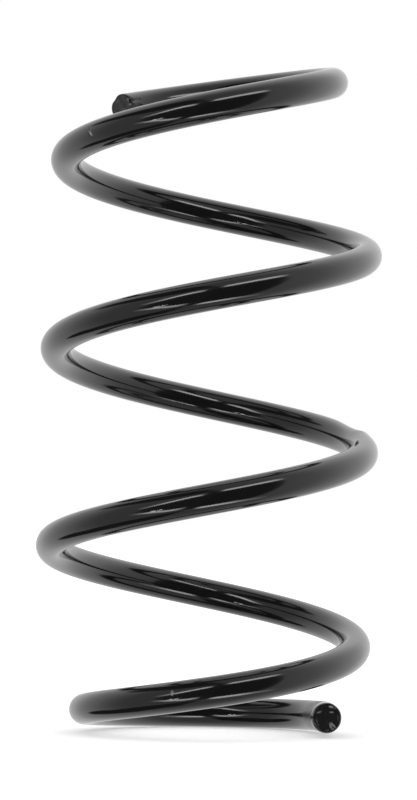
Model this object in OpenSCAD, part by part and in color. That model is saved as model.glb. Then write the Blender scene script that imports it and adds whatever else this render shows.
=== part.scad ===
// Suspension coil spring: one round steel bar wound into a right-handed helix.
// The end coils are smaller than the body coils. The lower one is nearly level, with a short
// straight tail, and the upper one leans a little. Both ends of the bar are cut off square.
// The coil axis is the Z axis and the lowest point of the bar is at z = 0. Millimetres.

/* [Bar] */
// Diameter of the round bar
bar_d = 14; // [10:0.5:18]
// Radius of the worn edge round each cut end
edge_r = 0.8; // [0.2:0.1:2]

/* [Body coils] */
// Outside diameter of the body coils
body_outer_d = 156.5; // [140:0.5:180]
// Rise of the body coils in one turn
body_pitch = 90.5; // [70:0.5:110]
// Turns from the start of the lower coil to the upper end of the bar
coil_turns = 4.39; // [3.5:0.01:6]
// How far the body coils wander in and out from their even radius
wander = 0.6; // [0:0.1:2]
// Turns from the start of the lower coil to a place where they wander out furthest
wander_at = 1.45; // [0:0.05:3]
// Turns from one such place to the next
wander_turns = 1.7; // [1:0.1:3]

/* [Lower end] */
// Outside diameter of the lower end coil
lower_outer_d = 124; // [112:0.5:140]
// Turns wound at the lower end coil's own diameter
lower_round_turns = 0.42; // [0.1:0.01:0.8]
// Turns over which the lower coil widens to the body
lower_taper_turns = 0.78; // [0.4:0.01:1.2]
// Rise in one turn at the very start of the coil, below zero where it dips
lower_end_pitch = -10.5; // [-20:0.5:20]
// Turns over which the rise grows from the lower end to the body
lower_ramp_turns = 1.17; // [0.8:0.01:1.6]
// Straight length of bar before the lower coil starts
lower_tail = 24; // [5:0.5:40]

/* [Upper end] */
// Outside diameter of the upper end coil
upper_outer_d = 124; // [112:0.5:140]
// Turns wound at the upper end coil's own diameter
upper_round_turns = 0.34; // [0.1:0.01:0.8]
// Turns over which the body narrows to the upper coil
upper_taper_turns = 0.82; // [0.4:0.01:1.2]
// Rise in one turn at the upper end of the bar, below zero where it dips
upper_end_pitch = -20; // [-40:0.5:20]
// Turns over which the rise falls from the body to the upper end
upper_ramp_turns = 0.97; // [0.6:0.01:1.6]
// Lean of the upper end coil, in degrees
upper_lean = 7.5; // [0:0.5:10]
// Direction of the high side of that lean, in degrees round from the X axis
upper_lean_dir = 30; // [0:1:359]
// Turns over which the lean fades into the body
upper_lean_turns = 1.4; // [0.8:0.01:1.8]

/* [Mesh] */
// Sides of the bar's round section, a multiple of 4
bar_sides = 20; // [12:4:32]
// Rings of points in one turn
rings_per_turn = 54; // [36:1:72]
// Steps round each worn edge
edge_steps = 3; // [2:1:4]

/* [Hidden] */

bar_r = bar_d / 2;
body_r = (body_outer_d - bar_d) / 2;
lower_r = (lower_outer_d - bar_d) / 2;
upper_r = (upper_outer_d - bar_d) / 2;
tail_rings = ceil(lower_tail / bar_r);
coil_rings = ceil(coil_turns * rings_per_turn);
edge_angles = [for (i = [0:edge_steps - 1]) 90 * i / edge_steps];
paint = [0.11, 0.11, 0.12];

// Smooth step from 0 to 1, and its integral from 0
function clamp01(t) = min(max(t, 0), 1);
function ease(t) = let (c = clamp01(t)) c * c * (3 - 2 * c);
function ease_sum(t) = let (c = clamp01(t)) pow(c, 3) - pow(c, 4) / 2 + max(t - 1, 0);

// Radius of the bar's centre line at u turns from the start, w turns from the upper end
function taper(t, round_turns, taper_turns) = 1 - ease((t - round_turns) / taper_turns);
function coil_radius(u, w) =
    let (r = body_r + wander * cos(360 * (u - wander_at) / wander_turns))
    r
    - (r - lower_r) * taper(u, lower_round_turns, lower_taper_turns)
    - (r - upper_r) * taper(w, upper_round_turns, upper_taper_turns);

// Height there: the rise summed along the coil, less what each end's ramp holds back
function held_back(t, end_pitch, ramp_turns) =
    (body_pitch - end_pitch) * (t - ramp_turns * ease_sum(t / ramp_turns));
function coil_height(u, w) =
    body_pitch * u
    - held_back(u, lower_end_pitch, lower_ramp_turns)
    + held_back(w, upper_end_pitch, upper_ramp_turns)
    - held_back(coil_turns, upper_end_pitch, upper_ramp_turns);

// The upper coil's lean lifts the bar on the side that the lean points to
function lean_lift(x, y, w) =
    (1 - ease(w / upper_lean_turns)) * tan(upper_lean)
    * (x * cos(upper_lean_dir) + y * sin(upper_lean_dir));

// Centre line of the coil, and its direction
function coil_point(u) =
    let (
        w = coil_turns - u,
        r = coil_radius(u, w),
        x = r * cos(360 * u),
        y = r * sin(360 * u)
    )
    [x, y, coil_height(u, w) + lean_lift(x, y, w)];
function unit(v) = v / norm(v);
small_turn = 0.001;
function coil_dir(u) = unit(coil_point(u + small_turn) - coil_point(u - small_turn));

// Stations along the bar: a point of the centre line and the direction there
start_point = coil_point(0);
start_dir = coil_dir(0);
tail_stations = [
    for (i = [0:tail_rings - 1])
        [start_point - start_dir * lower_tail * (1 - i / tail_rings), start_dir]
];
coil_stations = [
    for (i = [0:coil_rings])
        let (u = coil_turns * i / coil_rings)
        [coil_point(u), coil_dir(u)]
];
stations = concat(tail_stations, coil_stations);
last = len(stations) - 1;
lift = bar_r - min([for (s = stations) s[0].z]);

// One ring of the round section, square to the bar, with its first point furthest from the axis
function ring(station, r, along) =
    let (
        dir = station[1],
        centre = station[0] + dir * along + [0, 0, lift],
        out = [station[0].x, station[0].y, 0],
        side = unit(out - dir * (out * dir)),
        top = cross(dir, side)
    )
    [
        for (i = [0:bar_sides - 1])
            let (a = 360 * i / bar_sides)
            centre + r * (cos(a) * side + sin(a) * top)
    ];

// Rings of the worn edge at each cut end, then the rings between them
function edge_ring(station, a, facing) =
    ring(station, bar_r - edge_r * (1 - sin(a)), facing * edge_r * (1 - cos(a)));
lower_edge = [for (a = edge_angles) edge_ring(stations[0], a, 1)];
upper_edge = [for (i = [edge_steps - 1:-1:0]) edge_ring(stations[last], edge_angles[i], -1)];
lower_shoulder = [ring(stations[0], bar_r, edge_r)];
upper_shoulder = [ring(stations[last], bar_r, -edge_r)];
between = [for (i = [1:last - 1]) ring(stations[i], bar_r, 0)];
rings = concat(lower_edge, lower_shoulder, between, upper_shoulder, upper_edge);
ring_count = len(rings);

// Faces: two triangles for each cell of the skin, and a flat face over each end
function at(k, i) = k * bar_sides + i % bar_sides;
skin = [
    for (k = [0:ring_count - 2], i = [0:bar_sides - 1])
        each [
            [at(k, i), at(k + 1, i), at(k + 1, i + 1)],
            [at(k, i), at(k + 1, i + 1), at(k, i + 1)]
        ]
];
lower_face = [for (i = [0:bar_sides - 1]) at(0, i)];
upper_face = [for (i = [bar_sides - 1:-1:0]) at(ring_count - 1, i)];

module coil_spring() {
    color(paint)
        polyhedron(
            points = [for (r = rings) each r],
            faces = concat(skin, [lower_face, upper_face]),
            convexity = 12
        );
}

coil_spring();
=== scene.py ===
import math

import bpy
import numpy as np
from mathutils import Matrix, Vector, noise


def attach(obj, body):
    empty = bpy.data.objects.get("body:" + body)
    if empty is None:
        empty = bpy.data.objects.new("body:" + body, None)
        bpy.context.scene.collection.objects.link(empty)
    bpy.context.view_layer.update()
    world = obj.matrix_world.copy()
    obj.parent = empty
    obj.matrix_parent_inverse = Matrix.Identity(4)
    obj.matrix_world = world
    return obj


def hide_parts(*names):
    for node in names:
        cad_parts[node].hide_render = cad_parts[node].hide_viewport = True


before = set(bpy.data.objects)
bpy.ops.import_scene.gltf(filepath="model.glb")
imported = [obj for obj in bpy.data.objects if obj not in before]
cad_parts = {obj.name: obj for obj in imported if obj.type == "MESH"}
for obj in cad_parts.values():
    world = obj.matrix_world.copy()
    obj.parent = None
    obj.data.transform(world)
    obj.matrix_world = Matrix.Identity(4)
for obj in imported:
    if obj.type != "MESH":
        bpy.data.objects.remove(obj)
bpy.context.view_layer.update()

# The wound bar, in metres and turns: the same driving sizes and formulas as the solid
BAR_R = 0.007
EDGE_R = 0.0008
BODY_R = 0.07125
BODY_PITCH = 0.0905
TURNS = 4.39
WANDER, WANDER_AT, WANDER_TURNS = 0.0006, 1.45, 1.7
LOWER_R = 0.055
LOWER_ROUND, LOWER_TAPER = 0.42, 0.78
LOWER_PITCH, LOWER_RAMP = -0.0105, 1.17
TAIL = 0.024
UPPER_R = 0.055
UPPER_ROUND, UPPER_TAPER = 0.34, 0.82
UPPER_PITCH, UPPER_RAMP = -0.020, 0.97
LEAN, LEAN_DIR, LEAN_TURNS = math.radians(7.5), math.radians(30), 1.4
# The length of one body turn, and the small part of a turn over which a direction is measured
TURN_LENGTH = math.tau * BODY_R
SMALL_TURN = 0.001

# The finer skin that shows: sides of the bar, rings in a turn and in the straight tail, and steps
# round each worn edge
SIDES = 72
RINGS_PER_TURN, TAIL_RINGS = 180, 12
EDGE_STEPS = 5
# Angles round the bar, in degrees, between which it has twice as many sides
FINE_SIDES = [(244, 270), (165, 225)]
# Turns to each side of a mark that get closer rings, how many rings, and the least step between two
MARK_REACH, MARK_RINGS, LEAST_STEP = 0.008, 30, 0.0004

# Marks on the bar: turns from the start, angle round the bar in degrees, length along it and
# width round it in metres, depth (below zero stands proud)
DENTS = [
    (2.065, 306, 0.0230, 0.0060, 0.0013),
    (2.034, 292, 0.0070, 0.0052, -0.00035),
    (1.966, 257, 0.0050, 0.0007, 0.0014),
    (3.607, 357, 0.0012, 0.0014, 0.0002),
]

# The worn edges of the two cut ends: angle round the bar, how wide that bit is, extra wear
LOWER_WEAR = [(182, 50, 1.5), (20, 30, 0.2), (110, 25, 0.3), (290, 20, 0.4)]
UPPER_WEAR = [
    (0, 22, -0.75),
    (316, 15, 0.9),
    (262, 25, -0.5),
    (190, 30, 0.9),
    (212, 7, 1.5),
    (199, 5, -1.3),
    (186, 5, 1.1),
]
# Two ripples all round both edges: waves in a circle, phase and extra wear
RIPPLES = [(3, 1, 0.12), (7, 2, 0.08)]
# How many times further the wear reaches along the bar than into it, and at what multiple of that
# reach the rings of the plain bar begin
EDGE_STRETCH = 2.2
CLEAR_OF_EDGE = 1.05

# The cut faces: their rings from the rim inwards as shares of the radius, how far they are sunk,
# their waves, and the groove inside the rim. Both fade out towards the rim.
FACE_SHARES = (0.93, 0.85, 0.76, 0.66, 0.55, 0.43, 0.30, 0.16)
FACE_SINK = 0.0001
WAVE_HEIGHT, WAVE_SCALE, WAVE_SHIFT = 0.00028, 380, Vector((3, 7, 1))
GROOVE_DEPTH, GROOVE_SHARE, GROOVE_WIDTH = 0.00008, 0.85, 0.06
RIM_FADE = 8


def ease(t):
    c = np.clip(t, 0, 1)
    return c * c * (3 - 2 * c)


def ease_sum(t):
    c = np.clip(t, 0, 1)
    return c**3 - c**4 / 2 + np.maximum(t - 1, 0)


def taper(t, round_turns, taper_turns):
    return 1 - ease((t - round_turns) / taper_turns)


def held_back(t, end_pitch, ramp):
    return (BODY_PITCH - end_pitch) * (t - ramp * ease_sum(t / ramp))


def coil_point(u):
    """Points of the bar's centre line at u turns from the start of the coil, before the lift."""
    w = TURNS - u
    body = BODY_R + WANDER * np.cos(math.tau * (u - WANDER_AT) / WANDER_TURNS)
    radius = (
        body
        - (body - LOWER_R) * taper(u, LOWER_ROUND, LOWER_TAPER)
        - (body - UPPER_R) * taper(w, UPPER_ROUND, UPPER_TAPER)
    )
    height = (
        BODY_PITCH * u
        - held_back(u, LOWER_PITCH, LOWER_RAMP)
        + held_back(w, UPPER_PITCH, UPPER_RAMP)
        - held_back(TURNS, UPPER_PITCH, UPPER_RAMP)
    )
    x = radius * np.cos(math.tau * u)
    y = radius * np.sin(math.tau * u)
    lean = (1 - ease(w / LEAN_TURNS)) * math.tan(LEAN)
    z = height + lean * (x * math.cos(LEAN_DIR) + y * math.sin(LEAN_DIR))
    return np.stack([x, y, z], axis=-1)


def unit(v):
    return v / np.linalg.norm(v, axis=-1, keepdims=True)


def coil_dir(u):
    return unit(coil_point(u + SMALL_TURN) - coil_point(u - SMALL_TURN))


def dot(a, b):
    return (a * b).sum(axis=-1, keepdims=True)


def stations():
    """Turns from the start for each ring of the coil, with closer rings at each mark."""
    coil = np.linspace(0, TURNS, int(TURNS * RINGS_PER_TURN) + 1)
    extra = [np.linspace(mark[0] - MARK_REACH, mark[0] + MARK_REACH, MARK_RINGS) for mark in DENTS]
    turns = np.unique(np.concatenate([coil] + extra).round(6))
    keep = np.concatenate([[True], np.diff(turns) > LEAST_STEP])
    return turns[keep]


def swept_rings():
    """Centre, direction and turns from the start of each ring, the straight tail's first."""
    turns = stations()
    centre, along = coil_point(turns), coil_dir(turns)
    before = TAIL * (1 - np.arange(TAIL_RINGS) / TAIL_RINGS)
    centre = np.concatenate([centre[0] - along[0] * before[:, None], centre])
    along = np.concatenate([np.repeat(along[:1], TAIL_RINGS, axis=0), along])
    turns = np.concatenate([-before / TURN_LENGTH, turns])
    return centre, along, turns


def ring_angles():
    """Degrees round the bar of the skin's points, twice as close in the fine stretches."""
    step = 360 / SIDES
    degrees = np.arange(0, 360, step)
    between = [a + step / 2 for a in degrees if any(low <= a < high for low, high in FINE_SIDES)]
    return np.sort(np.concatenate([degrees, between]))


def dent_depth(turns, angle):
    """How far the skin sinks at each mark."""
    depth = np.zeros(np.broadcast(turns, angle).shape)
    for at, degrees, length, width, deep in DENTS:
        run = (turns - at) * TURN_LENGTH
        swing = (angle - math.radians(degrees) + math.pi) % math.tau - math.pi
        depth += deep * np.exp(-((run / length * 2) ** 2) - (swing * BAR_R / width) ** 2)
    return depth


def wear(angle, places):
    """Wear round a cut end, as a multiple of the plain edge radius: ripples, then the places."""
    amount = 1
    for waves, phase, more in RIPPLES:
        amount = amount + more * np.sin(waves * angle + phase)
    for degrees, wide, more in places:
        away = (np.degrees(angle) - degrees + 180) % 360 - 180
        amount = amount + more * np.exp(-((away / wide) ** 2))
    return amount


def worn_edge(centre, inward, ray, reach, angle, places):
    """Rings of one cut end, from its face's rim to the bar's side, and the length they need."""
    bend = np.radians(np.linspace(0, 90, EDGE_STEPS + 1))[:, None]
    worn = EDGE_R * wear(angle, places)
    inset = EDGE_STRETCH * worn * (1 - np.cos(bend))
    radius = reach - worn * (1 - np.sin(bend))
    rings = centre + inward * inset[..., None] + radius[..., None] * ray
    return rings, inset.max() * CLEAR_OF_EDGE


def bar_skin():
    """The rings of the whole skin, and the centre and outward direction of the two cut ends."""
    centre, along, turns = swept_rings()
    centre = centre + [0, 0, BAR_R - centre[:, 2].min()]
    out = centre * [1, 1, 0]
    side = unit(out - along * dot(out, along))
    top = np.cross(along, side)
    angle = np.radians(ring_angles())
    ray = np.cos(angle)[:, None] * side[:, None] + np.sin(angle)[:, None] * top[:, None]
    reach = BAR_R - dent_depth(turns[:, None], angle)
    plain = centre[:, None] + reach[..., None] * ray

    lower, lower_clear = worn_edge(centre[0], along[0], ray[0], reach[0], angle, LOWER_WEAR)
    upper, upper_clear = worn_edge(centre[-1], -along[-1], ray[-1], reach[-1], angle, UPPER_WEAR)
    past_lower = np.linalg.norm(centre - centre[0], axis=1) >= lower_clear
    past_upper = np.linalg.norm(centre - centre[-1], axis=1) >= upper_clear
    rings = np.concatenate([lower, plain[past_lower & past_upper], upper[::-1]])
    return rings, (centre[0], -along[0]), (centre[-1], along[-1])


def close_end(verts, faces, first, ring_points, centre, outward, pairs):
    """A cut face: rings closing on the middle, slightly uneven as a sheared face is."""
    rim = range(first, first + len(ring_points))
    for share in FACE_SHARES:
        groove = GROOVE_DEPTH * math.exp(-(((share - GROOVE_SHARE) / GROOVE_WIDTH) ** 2))
        fade = min(1, (1 - share) * RIM_FADE)
        ring = range(len(verts), len(verts) + len(ring_points))
        for point in ring_points:
            place = Vector(centre + (point - centre) * share)
            wave = WAVE_HEIGHT * noise.noise(place * WAVE_SCALE + WAVE_SHIFT)
            verts.append(tuple(place + Vector(outward) * ((wave - groove) * fade - FACE_SINK)))
        faces += [(rim[i], rim[j], ring[j], ring[i]) for i, j in pairs]
        rim = ring
    middle = len(verts)
    verts.append(tuple(Vector(centre) - Vector(outward) * FACE_SINK))
    faces += [(rim[i], rim[j], middle) for i, j in pairs]


def add_object(name, data):
    obj = bpy.data.objects.new(name, data)
    bpy.context.scene.collection.objects.link(obj)
    return obj


def make_bar():
    """The wound bar as one skin, whose second material is for the two cut faces."""
    rings, lower_end, upper_end = bar_skin()
    count, sides = rings.shape[:2]
    verts = rings.reshape(-1, 3).tolist()
    pairs = [(i, (i + 1) % sides) for i in range(sides)]
    faces = []
    for first in range(0, (count - 1) * sides, sides):
        after = first + sides
        faces += [(first + i, after + i, after + j, first + j) for i, j in pairs]
    face_start = len(faces)
    close_end(verts, faces, 0, rings[0], *lower_end, pairs)
    close_end(verts, faces, (count - 1) * sides, rings[-1], *upper_end, [(j, i) for i, j in pairs])

    mesh = bpy.data.meshes.new("spring_bar")
    mesh.from_pydata(verts, [], faces)
    mesh.polygons.foreach_set("use_smooth", [True] * len(faces))
    for polygon in mesh.polygons[face_start:]:
        polygon.material_index = 1
    mesh.update()
    return add_object("spring_bar", mesh)


def new_material(name):
    mat = bpy.data.materials.new(name)
    mat.use_nodes = True
    nodes, links = mat.node_tree.nodes, mat.node_tree.links
    nodes.clear()
    output = nodes.new("ShaderNodeOutputMaterial")
    return mat, nodes, links, output


def noise_node(nodes, links, coord, scale, detail, rough=0.5):
    tex = nodes.new("ShaderNodeTexNoise")
    tex.inputs["Scale"].default_value = scale
    tex.inputs["Detail"].default_value = detail
    tex.inputs["Roughness"].default_value = rough
    links.new(coord, tex.inputs["Vector"])
    return tex.outputs["Fac"]


def map_range(nodes, links, value, low, high, to_low, to_high, smooth=False):
    node = nodes.new("ShaderNodeMapRange")
    if smooth:
        node.interpolation_type = "SMOOTHSTEP"
    node.inputs["From Min"].default_value = low
    node.inputs["From Max"].default_value = high
    node.inputs["To Min"].default_value = to_low
    node.inputs["To Max"].default_value = to_high
    links.new(value, node.inputs["Value"])
    return node.outputs["Result"]


def math_node(nodes, links, operation, a, b):
    node = nodes.new("ShaderNodeMath")
    node.operation = operation
    for socket, value in zip(node.inputs, (a, b)):
        if isinstance(value, (int, float)):
            socket.default_value = value
        else:
            links.new(value, socket)
    return node.outputs["Value"]


def combined(nodes, links, operation, values):
    """Many values brought together by one operation, such as their sum."""
    total = values[0]
    for value in values[1:]:
        total = math_node(nodes, links, operation, total, value)
    return total


# The paint: noise scales of its tint, of the clouds in its gloss, of its orange peel and of the
# ragged edges of its scuffs, chips and painted glints
TINT_SCALE, CLOUD_SCALE, PEEL_SCALE, RAGGED_SCALE = 45, 60, 260, 900
# Grey and blue of the darkest and the palest tint, as multiples of the paint's tone
TINTS = [(1, 1.1), (1.6, 1.7)]
# The noise between which the gloss goes from its clearest to its dullest
CLOUD_LOW, CLOUD_HIGH = 0.3, 0.7
# How grey the scuffs and the painted glints on the cut faces are, how much rougher, and how far
# their edges wander as a share of their size
SCUFF_AND_GLINT_GREY, SCUFF_ROUGH, RAGGED = 0.28, 0.4, 0.7
# A patch is full inside the first share of its size and gone at the second
PATCH_FULL, PATCH_GONE = 0.75, 1.25
MM = 0.001


def patch(nodes, links, coord, ragged, centre, lie, length, width, level):
    """A mask over a small long patch at a place on the bar, with a ragged edge. Millimetres."""
    place = nodes.new("ShaderNodeMapping")
    place.vector_type = "TEXTURE"
    place.inputs["Location"].default_value = Vector(centre) * MM
    place.inputs["Rotation"].default_value = Vector(lie).to_track_quat("Z", "Y").to_euler()
    place.inputs["Scale"].default_value = (width * MM, width * MM, length * MM)
    links.new(coord, place.inputs["Vector"])
    far = nodes.new("ShaderNodeVectorMath")
    far.operation = "LENGTH"
    links.new(place.outputs["Vector"], far.inputs[0])
    edge = math_node(nodes, links, "ADD", far.outputs["Value"], ragged)
    return map_range(nodes, links, edge, PATCH_FULL, PATCH_GONE, level, 0, smooth=True)


def patches(nodes, links, coord, places):
    """A mask for each place, all with edges from the same fine noise."""
    grain = noise_node(nodes, links, coord, RAGGED_SCALE, 3, 0.6)
    ragged = map_range(nodes, links, grain, 0, 1, -RAGGED, RAGGED)
    return [patch(nodes, links, coord, ragged, *place) for place in places]


def paint_colour(nodes, links, coord, tone, scuffed_and_glinting):
    """A deep tint that varies a little, with the scuffs grey and the painted glints on the cut
    faces grey.
    """
    tint = nodes.new("ShaderNodeValToRGB")
    for stop, (grey, blue) in zip(tint.color_ramp.elements, TINTS):
        stop.color = (tone * grey, tone * grey, tone * blue, 1)
    links.new(noise_node(nodes, links, coord, TINT_SCALE, 3), tint.inputs["Fac"])
    colour = nodes.new("ShaderNodeMix")
    colour.data_type = "RGBA"
    colour.inputs["B"].default_value = (SCUFF_AND_GLINT_GREY, SCUFF_AND_GLINT_GREY, SCUFF_AND_GLINT_GREY, 1)
    links.new(scuffed_and_glinting, colour.inputs["Factor"])
    links.new(tint.outputs["Color"], colour.inputs["A"])
    return colour.outputs["Result"]


def paint_roughness(nodes, links, coord, rough_low, rough_high, scuffed_and_glinting, chipped):
    """A clear gloss with faint clouds in it, duller on the scuffs, the painted glints and the
    chips.
    """
    cloud = noise_node(nodes, links, coord, CLOUD_SCALE, 4, 0.6)
    gloss = map_range(nodes, links, cloud, CLOUD_LOW, CLOUD_HIGH, rough_low, rough_high)
    dull = math_node(nodes, links, "MULTIPLY", scuffed_and_glinting, SCUFF_ROUGH)
    return combined(nodes, links, "ADD", [gloss, dull] + chipped)


def orange_peel(nodes, links, coord, height):
    """The fine unevenness of a sprayed coat."""
    bump = nodes.new("ShaderNodeBump")
    bump.inputs["Strength"].default_value = 1.0
    bump.inputs["Distance"].default_value = height
    links.new(noise_node(nodes, links, coord, PEEL_SCALE, 2, 0.45), bump.inputs["Height"])
    return bump.outputs["Normal"]


def black_paint(name, tone, rough_low, rough_high, peel, scuffs_and_glints, chips=()):
    """Gloss black paint with its marks. The peel is the height of its bumps, in metres."""
    mat, nodes, links, output = new_material(name)
    coord = nodes.new("ShaderNodeTexCoord").outputs["Object"]
    shader = nodes.new("ShaderNodeBsdfPrincipled")
    shader.inputs["IOR"].default_value = 1.5
    masks = patches(nodes, links, coord, [*scuffs_and_glints, *chips])
    scuffed_and_glinting = combined(nodes, links, "MAXIMUM", masks[: len(scuffs_and_glints)])
    chipped = masks[len(scuffs_and_glints) :]
    colour = paint_colour(nodes, links, coord, tone, scuffed_and_glinting)
    rough = paint_roughness(nodes, links, coord, rough_low, rough_high, scuffed_and_glinting, chipped)
    links.new(colour, shader.inputs["Base Color"])
    links.new(rough, shader.inputs["Roughness"])
    links.new(orange_peel(nodes, links, coord, peel), shader.inputs["Normal"])
    links.new(shader.outputs["BSDF"], output.inputs["Surface"])
    return mat


# Scuffs: where, which way they lie, half their length and width, how pale. Millimetres.
BAR_SCUFFS = [
    ((-55.1, -45.1, 271.7), (0.51, -0.54, -0.67), 1.9, 0.60, 0.65),
    ((-14.7, -65.1, 21.8), (0.06, 0.3, 0.95), 1.35, 0.68, 0.42),
]

# Where the paint has lost its gloss but stays black: the same, with how much rougher it is
BAR_CHIPS = [
    ((67.4, -15.6, 134.3), (0.10, 0.98, 0.17), 7.0, 0.8, 0.85),
    ((48.5, 0.0, 9.0), (0.0, 1.0, 0), 19.0, 9.0, 0.26),
]

# The cut faces: the middle, and the directions that the viewer sees as right and up
LOWER_FACE = (Vector((55.0, -24.0, 9.33)), Vector((1, 0, 0)), Vector((0, 0, 1)))
UPPER_FACE = (
    Vector((-42.378, 35.058, 290.698)),
    Vector((0.7705, -0.6374, 0.0)).normalized(),
    Vector((-0.1137, -0.1374, 0.984)).normalized(),
)
# Pale patches on them, partly scuffed paint and partly painted glints of light off the uneven face:
# right and up of the middle, the way they lie, half length and width, how pale
UPPER_FACE_SCUFFS_AND_GLINTS = [
    (3.7, 3.9, 0, 1, 0.75, 0.40, 0.55),
    (4.9, 1.8, 1, 0.2, 0.80, 0.40, 0.45),
    (-1.5, 0.6, -0.5, 1, 1.6, 0.45, 0.07),
    (0.2, -0.2, 1, 0.3, 1.4, 0.45, 0.09),
    (-3.6, 3.2, 1, 1, 1.8, 0.40, 0.07),
    (-4.2, -2.2, 0, 1, 1.2, 0.70, 0.06),
    (-0.4, -1.8, 1, -0.4, 1.2, 0.40, 0.07),
]
LOWER_FACE_SCUFFS_AND_GLINTS = [
    (2.0, 5.2, 1, -0.05, 1.25, 0.6, 0.80),
    (3.5, 4.3, 1, 0.15, 1.4, 0.25, 0.30),
    (2.2, 2.7, 1, 0.0, 0.95, 0.40, 0.65),
    (-3.3, 2.6, 1, 0.4, 1.1, 0.55, 0.40),
    (-2.2, 3.2, 1, -0.6, 0.8, 0.3, 0.22),
    (3.2, -3.2, 1, -1.1, 1.7, 0.45, 0.60),
    (2.0, -3.6, 0.35, -1, 1.4, 0.48, 0.60),
    (2.9, -4.9, 1, 0.2, 0.8, 0.35, 0.45),
    (-4.3, -1.3, -0.35, 1, 1.3, 0.25, 0.35),
    (-3.7, -2.9, -0.6, 1, 0.8, 0.22, 0.30),
    (0.4, -5.4, 1, 0, 0.9, 0.22, 0.35),
    (5.2, 0.3, 0, 1, 1.8, 0.25, 0.20),
]


def on_face(face, right, up, lie_right, lie_up, length, width, level):
    """A pale patch on a cut face, partly scuff and partly painted glint, with its place and lie
    turned into the part's own directions.
    """
    middle, across, upward = face
    place = middle + across * right + upward * up
    return (place, across * lie_right + upward * lie_up, length, width, level)


# The cut faces' pale patches paint glints of light into the colour, as well as scuffs.
face_scuffs_and_glints = [on_face(UPPER_FACE, *scuff) for scuff in UPPER_FACE_SCUFFS_AND_GLINTS]
face_scuffs_and_glints += [on_face(LOWER_FACE, *scuff) for scuff in LOWER_FACE_SCUFFS_AND_GLINTS]

bar = make_bar()
bar.data.materials.append(
    black_paint(
        "gloss_black_paint",
        tone=0.0030,
        rough_low=0.08,
        rough_high=0.13,
        peel=0.0000004,
        scuffs_and_glints=BAR_SCUFFS,
        chips=BAR_CHIPS,
    )
)
# The cut faces' grey patches are partly painted glints, partly scuffed paint.
bar.data.materials.append(
    black_paint(
        "painted_cut_face",
        tone=0.0080,
        rough_low=0.12,
        rough_high=0.28,
        peel=0.00003,
        scuffs_and_glints=face_scuffs_and_glints,
    )
)
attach(bar, "root")
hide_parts("coil_spring")


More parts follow.
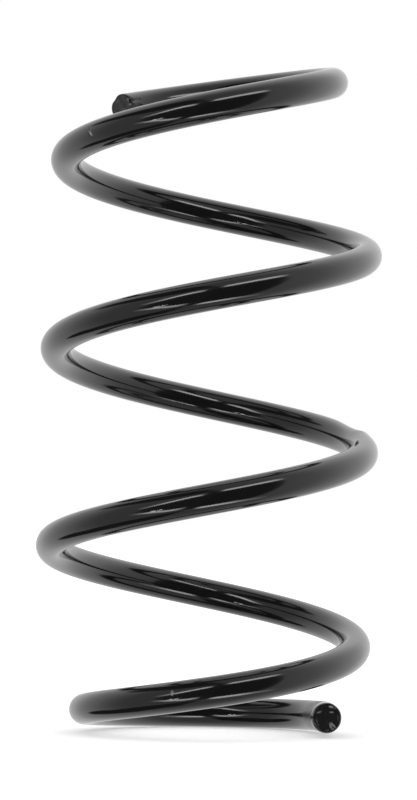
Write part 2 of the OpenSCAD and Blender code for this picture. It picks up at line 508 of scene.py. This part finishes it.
# The studio: a pale floor and a white world, and panels round them that show only in the gloss.
# A panel is columns of azimuth, lower and upper elevation, distance from the middle of the spring
# and glow. Where the distance is a pair, it is that of the lower edge and that of the upper one.
MIDDLE = Vector((0, 0, 0.155))
PANELS = {
    "lamp_upper_right": [
        (1.5, 37, 45, 1.05, 2),
        (4.5, 36.5, 45.5, 1.05, 7.5),
        (9, 36.7, 46.3, 1.05, 7.2),
        (15, 37.7, 47.3, 1.05, 7.0),
        (21, 38.5, 48.2, 1.05, 7.2),
        (27, 39, 48.6, 1.05, 7.2),
        (33, 39.2, 48.8, 1.05, 7.5),
        (39, 39.4, 49.0, 1.05, 7),
        (45, 39.2, 48.8, 1.05, 6),
        (51, 38.5, 47.5, 1.05, 1.6),
    ],
    "lamp_lower_right": [
        (1, -50, -43, 0.72, 3),
        (5, -50.5, -42, 0.72, 7.5),
        (15, -51.5, -42.5, 0.715, 7.5),
        (26, -51.5, -42.5, 0.71, 7),
        (33, -52, -43, 0.71, 5),
        (40, -51, -43, 0.705, 2.8),
        (50, -51, -43, 0.70, 2),
        (58, -51, -43, 0.70, 1.3),
    ],
    "lamp_upper_left": [
        (-52, 10.5, 20, 4.5, 0.5),
        (-50, 10.8, 19.5, 4.5, 1.0),
        (-47, 10.5, 18.5, 4.5, 2.0),
        (-44, 11.8, 19.8, 4.5, 3.0),
        (-41, 14.0, 21.8, 4.5, 4.4),
        (-38, 15.9, 24.2, 4.5, 5.6),
        (-35, 18.0, 26.0, 4.5, 7.2),
        (-32, 20.0, 28.3, 4.5, 7.8),
        (-29, 22.5, 31.0, 4.5, 8.2),
        (-26, 24.0, 33.4, 4.5, 8.5),
        (-23, 25.6, 35.2, 3.0, 8.2),
        (-20, 27.3, 36.2, 2.2, 7.7),
        (-17, 28.8, 37.2, 1.74, 7.8),
        (-14, 29, 37.4, 1.44, 7.2),
        (-11, 28.5, 37.2, 1.24, 4.5),
        (-9.5, 28.5, 37, 1.15, 2.5),
    ],
    "lamp_lower_left": [
        (-52, -16, -8, 4.5, 0.5),
        (-47, -18.2, -10.3, 4.5, 1.5),
        (-44, -20, -12.1, 4.5, 2.6),
        (-41, -22.2, -14.9, 4.5, 4.3),
        (-38, -25.2, -17, 4.5, 5.8),
        (-35, -27, -17.3, 4.5, 6.0),
        (-32, -29, -18, 4.0, 6.3),
        (-29, -30.5, -19.5, 2.5, 6.3),
        (-26, -34, -24, 1.77, 6.5),
        (-23, -36, -26.3, 1.4, 6.5),
        (-20, -37, -28, 1.15, 6.5),
        (-17, -37.3, -28.7, 0.98, 6.5),
        (-14, -37, -28.5, 0.87, 5.2),
        (-11, -35.8, -28.5, 0.80, 3.0),
        (-9, -35, -29, 0.78, 1.5),
    ],
    "lamp_spot_outer": [
        (-34.6, -18.5, -14.5, 4.3, 17),
        (-32.4, -18.5, -14.5, 4.0, 17),
    ],
    "lamp_spot_inner": [
        (-30.0, -19, -14.5, 3.2, 29),
        (-27.8, -19, -14.5, 2.3, 29),
    ],
    "dark_right": [
        (-3, -40, 33, (0.75, 1.1), 0.07),
        (20, -40, 36, (0.745, 1.1), 0.08),
        (36, -40, 38, (0.74, 1.1), 0.09),
        (41, -37, 38, (0.74, 1.1), 0.12),
        (44.5, -28, 38, (0.735, 1.1), 0.20),
        (46.5, -10, 38, (0.73, 1.1), 0.36),
        (48.8, 20, 38, (0.73, 1.1), 0.60),
    ],
    "dark_left": [
        (-50, -10, 11, 4.7, 0.55),
        (-47, -11.8, 12, 4.7, 0.45),
        (-44, -13.6, 13.3, 4.7, 0.25),
        (-41, -16.4, 15.8, 4.7, 0.17),
        (-38, -18.5, 17.6, 4.7, 0.14),
        (-35, -19, 20, 4.7, 0.12),
        (-32, -19.5, 22, (4.2, 4.7), 0.11),
        (-29, -21, 24.5, (2.6, 4.7), 0.11),
        (-26, -25.5, 26, (1.85, 4.7), 0.10),
        (-23, -28, 27.5, (1.45, 3.1), 0.10),
        (-20, -29.5, 29, (1.2, 2.3), 0.10),
        (-17, -30, 30.3, (1.02, 1.8), 0.10),
        (-14, -30, 30.5, (0.91, 1.5), 0.09),
        (-11, -30, 30, (0.84, 1.3), 0.09),
        (-8, -32, 30, (0.82, 1.2), 0.08),
        (-2, -32, 26, 0.80, 0.08),
    ],
    "post": [
        (-9, -46, 46, 0.79, 0.10),
        (-0.5, -46, 46, 0.79, 0.10),
    ],
    "frame_upper": [
        (-7, 41, 52, 0.80, 0.30),
        (-17, 43, 61, 0.80, 0.12),
        (-30, 42.5, 66, 0.80, 0.08),
        (-46, 41, 69, 0.80, 0.08),
        (-60, 42, 68, 0.80, 0.08),
        (-75, 42, 64, 0.80, 0.08),
        (-90, 40, 59, 0.80, 0.08),
        (-104, 37, 52, 0.80, 0.12),
        (-118, 37, 45, 0.80, 0.25),
    ],
    "frame_lower": [
        (-8, -54, -46, 0.80, 0.30),
        (-16, -60, -46, 0.80, 0.12),
        (-30, -69, -47, 0.80, 0.08),
        (-50, -68, -45.5, 0.80, 0.08),
        (-67, -68.5, -43.5, 0.80, 0.10),
        (-80, -66.5, -42.5, 0.80, 0.09),
        (-90, -67, -41.5, 0.80, 0.08),
        (-100, -61.5, -36, 0.80, 0.07),
        (-110, -56, -33.5, 0.80, 0.07),
        (-118, -47, -33.5, 0.80, 0.07),
        (-122, -42, -34, 0.80, 0.15),
    ],
}


def direction(azimuth, elevation):
    """Azimuth 0 points at the viewer and 90 to the right; both in degrees."""
    a, e = math.radians(azimuth), math.radians(elevation)
    return Vector((math.sin(a) * math.cos(e), -math.cos(a) * math.cos(e), math.sin(e)))


def make_glow():
    """Panels glow as much as each of their corners says."""
    mat, nodes, links, output = new_material("studio_glow")
    emission = nodes.new("ShaderNodeEmission")
    level = nodes.new("ShaderNodeAttribute")
    level.attribute_name = "glow"
    links.new(level.outputs["Fac"], emission.inputs["Strength"])
    links.new(emission.outputs["Emission"], output.inputs["Surface"])
    return mat


def make_panel(name, columns, material):
    """A panel of the studio, which only gloss sees."""
    verts, level = [], []
    for azimuth, low, high, far, glow in columns:
        far_low, far_high = far if isinstance(far, tuple) else (far, far)
        verts.append(MIDDLE + direction(azimuth, low) * far_low)
        verts.append(MIDDLE + direction(azimuth, high) * far_high)
        level += [glow, glow]
    faces = [(2 * i, 2 * i + 2, 2 * i + 3, 2 * i + 1) for i in range(len(columns) - 1)]
    mesh = bpy.data.meshes.new(name)
    mesh.from_pydata([tuple(v) for v in verts], [], faces)
    mesh.attributes.new("glow", "FLOAT", "POINT").data.foreach_set("value", level)
    mesh.materials.append(material)
    obj = add_object(name, mesh)
    obj.visible_camera = False
    obj.visible_diffuse = False
    obj.visible_shadow = False
    obj.visible_transmission = False


def seen(nodes, links):
    """Two sockets: 1 where the camera looks, and 1 where the camera, gloss or glass does."""
    path = nodes.new("ShaderNodeLightPath")
    camera = path.outputs["Is Camera Ray"]
    gloss, glass = path.outputs["Is Glossy Ray"], path.outputs["Is Transmission Ray"]
    mirrored = math_node(nodes, links, "MAXIMUM", gloss, glass)
    return camera, math_node(nodes, links, "MAXIMUM", camera, mirrored)


# Half the floor's side in metres, how pale it is, and how much it glows where it shows
FLOOR_HALF = 8.0
FLOOR_GREY = 0.86
FLOOR_LIFT = 0.4


def make_floor():
    """A pale floor that keeps the shadow and glows a little, so that the camera sees it white."""
    corners = [(-1, -1), (1, -1), (1, 1), (-1, 1)]
    mesh = bpy.data.meshes.new("floor")
    mesh.from_pydata([(x * FLOOR_HALF, y * FLOOR_HALF, 0) for x, y in corners], [], [(0, 1, 2, 3)])
    mat, nodes, links, output = new_material("floor_white")
    diffuse = nodes.new("ShaderNodeBsdfDiffuse")
    diffuse.inputs["Color"].default_value = (FLOOR_GREY, FLOOR_GREY, FLOOR_GREY, 1)
    glow = nodes.new("ShaderNodeEmission")
    shown = seen(nodes, links)[1]
    links.new(map_range(nodes, links, shown, 0, 1, 0, FLOOR_LIFT), glow.inputs["Strength"])
    add = nodes.new("ShaderNodeAddShader")
    links.new(diffuse.outputs["BSDF"], add.inputs[0])
    links.new(glow.outputs["Emission"], add.inputs[1])
    links.new(add.outputs["Shader"], output.inputs["Surface"])
    mesh.materials.append(mat)
    obj = add_object("floor", mesh)
    obj.visible_glossy = False


# The soft light that gloss sees is a sum. Each part has a direction, the cosines of the angle from
# it between which the light changes smoothly, and its strength at either. A cosine past 1 makes
# the change end beyond what there is to see.
BEHIND = direction(180, 0)
SOFT_LIGHT = [
    (BEHIND, -0.32, 0.42, 0.61, 1.22),
    (direction(101, 10), -0.06, 1.99, 0, 1.1),
    (direction(170, 56), 0.83, 0.98, 0, 0.2),
    (BEHIND, 0.80, 1.0, 0, -0.35),
]


def soft_light(nodes, links):
    look = nodes.new("ShaderNodeTexCoord").outputs["Generated"]
    parts = []
    for towards, *span in SOFT_LIGHT:
        cosine = nodes.new("ShaderNodeVectorMath")
        cosine.operation = "DOT_PRODUCT"
        cosine.inputs[1].default_value = towards
        links.new(look, cosine.inputs[0])
        parts.append(map_range(nodes, links, cosine.outputs["Value"], *span, smooth=True))
    return combined(nodes, links, "ADD", parts)


def make_world():
    """Plain white light, white for the camera too; gloss and glass see the soft light instead."""
    world = bpy.data.worlds.new("studio")
    bpy.context.scene.world = world
    world.use_nodes = True
    nodes, links = world.node_tree.nodes, world.node_tree.links
    nodes.clear()
    output = nodes.new("ShaderNodeOutputWorld")
    background = nodes.new("ShaderNodeBackground")
    background.inputs["Color"].default_value = (1, 1, 1, 1)
    links.new(background.outputs["Background"], output.inputs["Surface"])

    camera, shown = seen(nodes, links)
    backdrop = nodes.new("ShaderNodeMix")
    backdrop.inputs["B"].default_value = 1.0
    links.new(camera, backdrop.inputs["Factor"])
    links.new(soft_light(nodes, links), backdrop.inputs["A"])
    strength = nodes.new("ShaderNodeMix")
    strength.inputs["A"].default_value = 1.0
    links.new(shown, strength.inputs["Factor"])
    links.new(backdrop.outputs["Result"], strength.inputs["B"])
    links.new(strength.outputs["Result"], background.inputs["Strength"])


# The camera: its focal length in pixels of a picture of this height, place in metres, and turns
# in degrees, as the outline in the photo gives them
PHOTO_HEIGHT, FOCAL_PIXELS = 800, 3954.4
SENSOR = 36
CAMERA_PLACE = (-0.000275, -1.8198, 0.111716)
CAMERA_TILT, CAMERA_ROLL = math.radians(-1.315), math.radians(0.730)
CLIP_END = 100


def make_camera():
    data = bpy.data.cameras.new("camera")
    data.sensor_width = SENSOR
    data.lens = FOCAL_PIXELS * SENSOR / PHOTO_HEIGHT
    data.clip_end = CLIP_END
    obj = add_object("camera", data)
    turn = Matrix.Rotation(CAMERA_ROLL, 3, "Y") @ Matrix.Rotation(CAMERA_TILT, 3, "X")
    axes = Matrix((turn[0], turn[2], -turn[1])).transposed()
    obj.matrix_world = Matrix.Translation(CAMERA_PLACE) @ axes.to_4x4()
    bpy.context.scene.camera = obj


glow_material = make_glow()
for panel_name, panel_columns in PANELS.items():
    make_panel(panel_name, panel_columns, glow_material)
make_floor()
make_world()
make_camera()

bpy.context.scene.view_settings.view_transform = "Standard"
